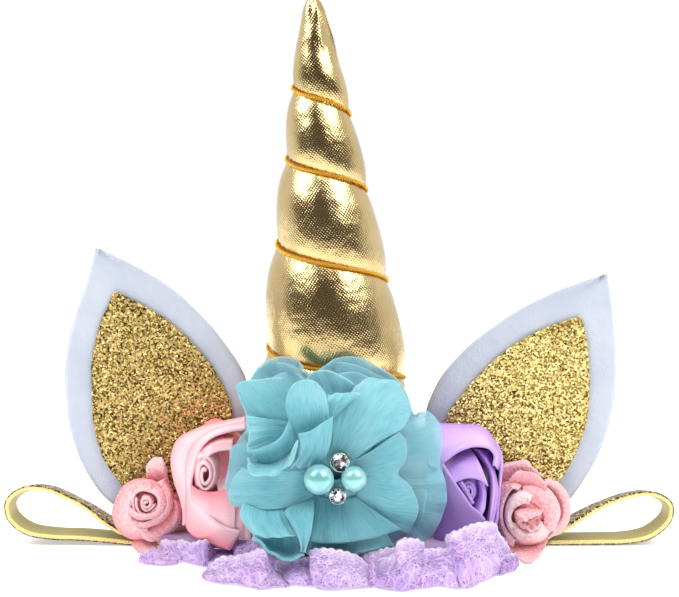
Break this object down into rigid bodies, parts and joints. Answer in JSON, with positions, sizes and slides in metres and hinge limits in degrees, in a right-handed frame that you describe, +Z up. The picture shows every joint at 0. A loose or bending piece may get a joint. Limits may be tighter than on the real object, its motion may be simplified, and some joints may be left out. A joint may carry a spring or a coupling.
{
  "type": "unicorn horn headband",
  "caption": "Elastic headband with a cord-wound spiral horn, felt ears, fabric flowers and a lace ruffle, standing on its flattened loop.",
  "frame": {"origin": "middle of the flattened band's underside, on the surface it stands on", "axes": "+X to the right along the band, seen from the flowers' side; -Y towards the front, where the flowers face; +Z up along the horn"},
  "size_m": [0.2094, 0.0767, 0.1695],
  "materials": {
    "elastic_gold": "glitter elastic ribbon",
    "felt_lilac": "plain felt",
    "lame_gold": "metallic woven fabric",
    "cord_gold": "twisted metallic cord",
    "felt_white": "white felt",
    "glitter_gold": "coarse gold glitter",
    "chiffon_teal": "crinkled chiffon",
    "pearl_teal": "pearlescent",
    "crystal": "cut stone in a silver claw setting",
    "satin_pink": "satin ribbon",
    "satin_purple": "satin ribbon",
    "chiffon_salmon": "fuzzy chiffon",
    "lace_lilac": "gathered lace"
  },
  "bodies": {
    "root": {"elastic_band": "elastic_gold", "felt_base": "felt_lilac", "horn": "lame_gold", "horn_cord": "cord_gold", "ear_felt_left": "felt_white", "ear_felt_right": "felt_white", "ear_glitter_left": "glitter_gold", "ear_glitter_right": "glitter_gold", "chiffon_flower": "chiffon_teal", "pearl_left": "pearl_teal", "pearl_right": "pearl_teal", "rhinestone_top": "crystal", "rhinestone_bottom": "crystal", "satin_rose_pink": "satin_pink", "satin_rose_purple": "satin_purple", "chiffon_rose_left": "chiffon_salmon", "chiffon_rose_right": "chiffon_salmon", "lace_ruffle": "lace_lilac"}
  },
  "joints": []
}
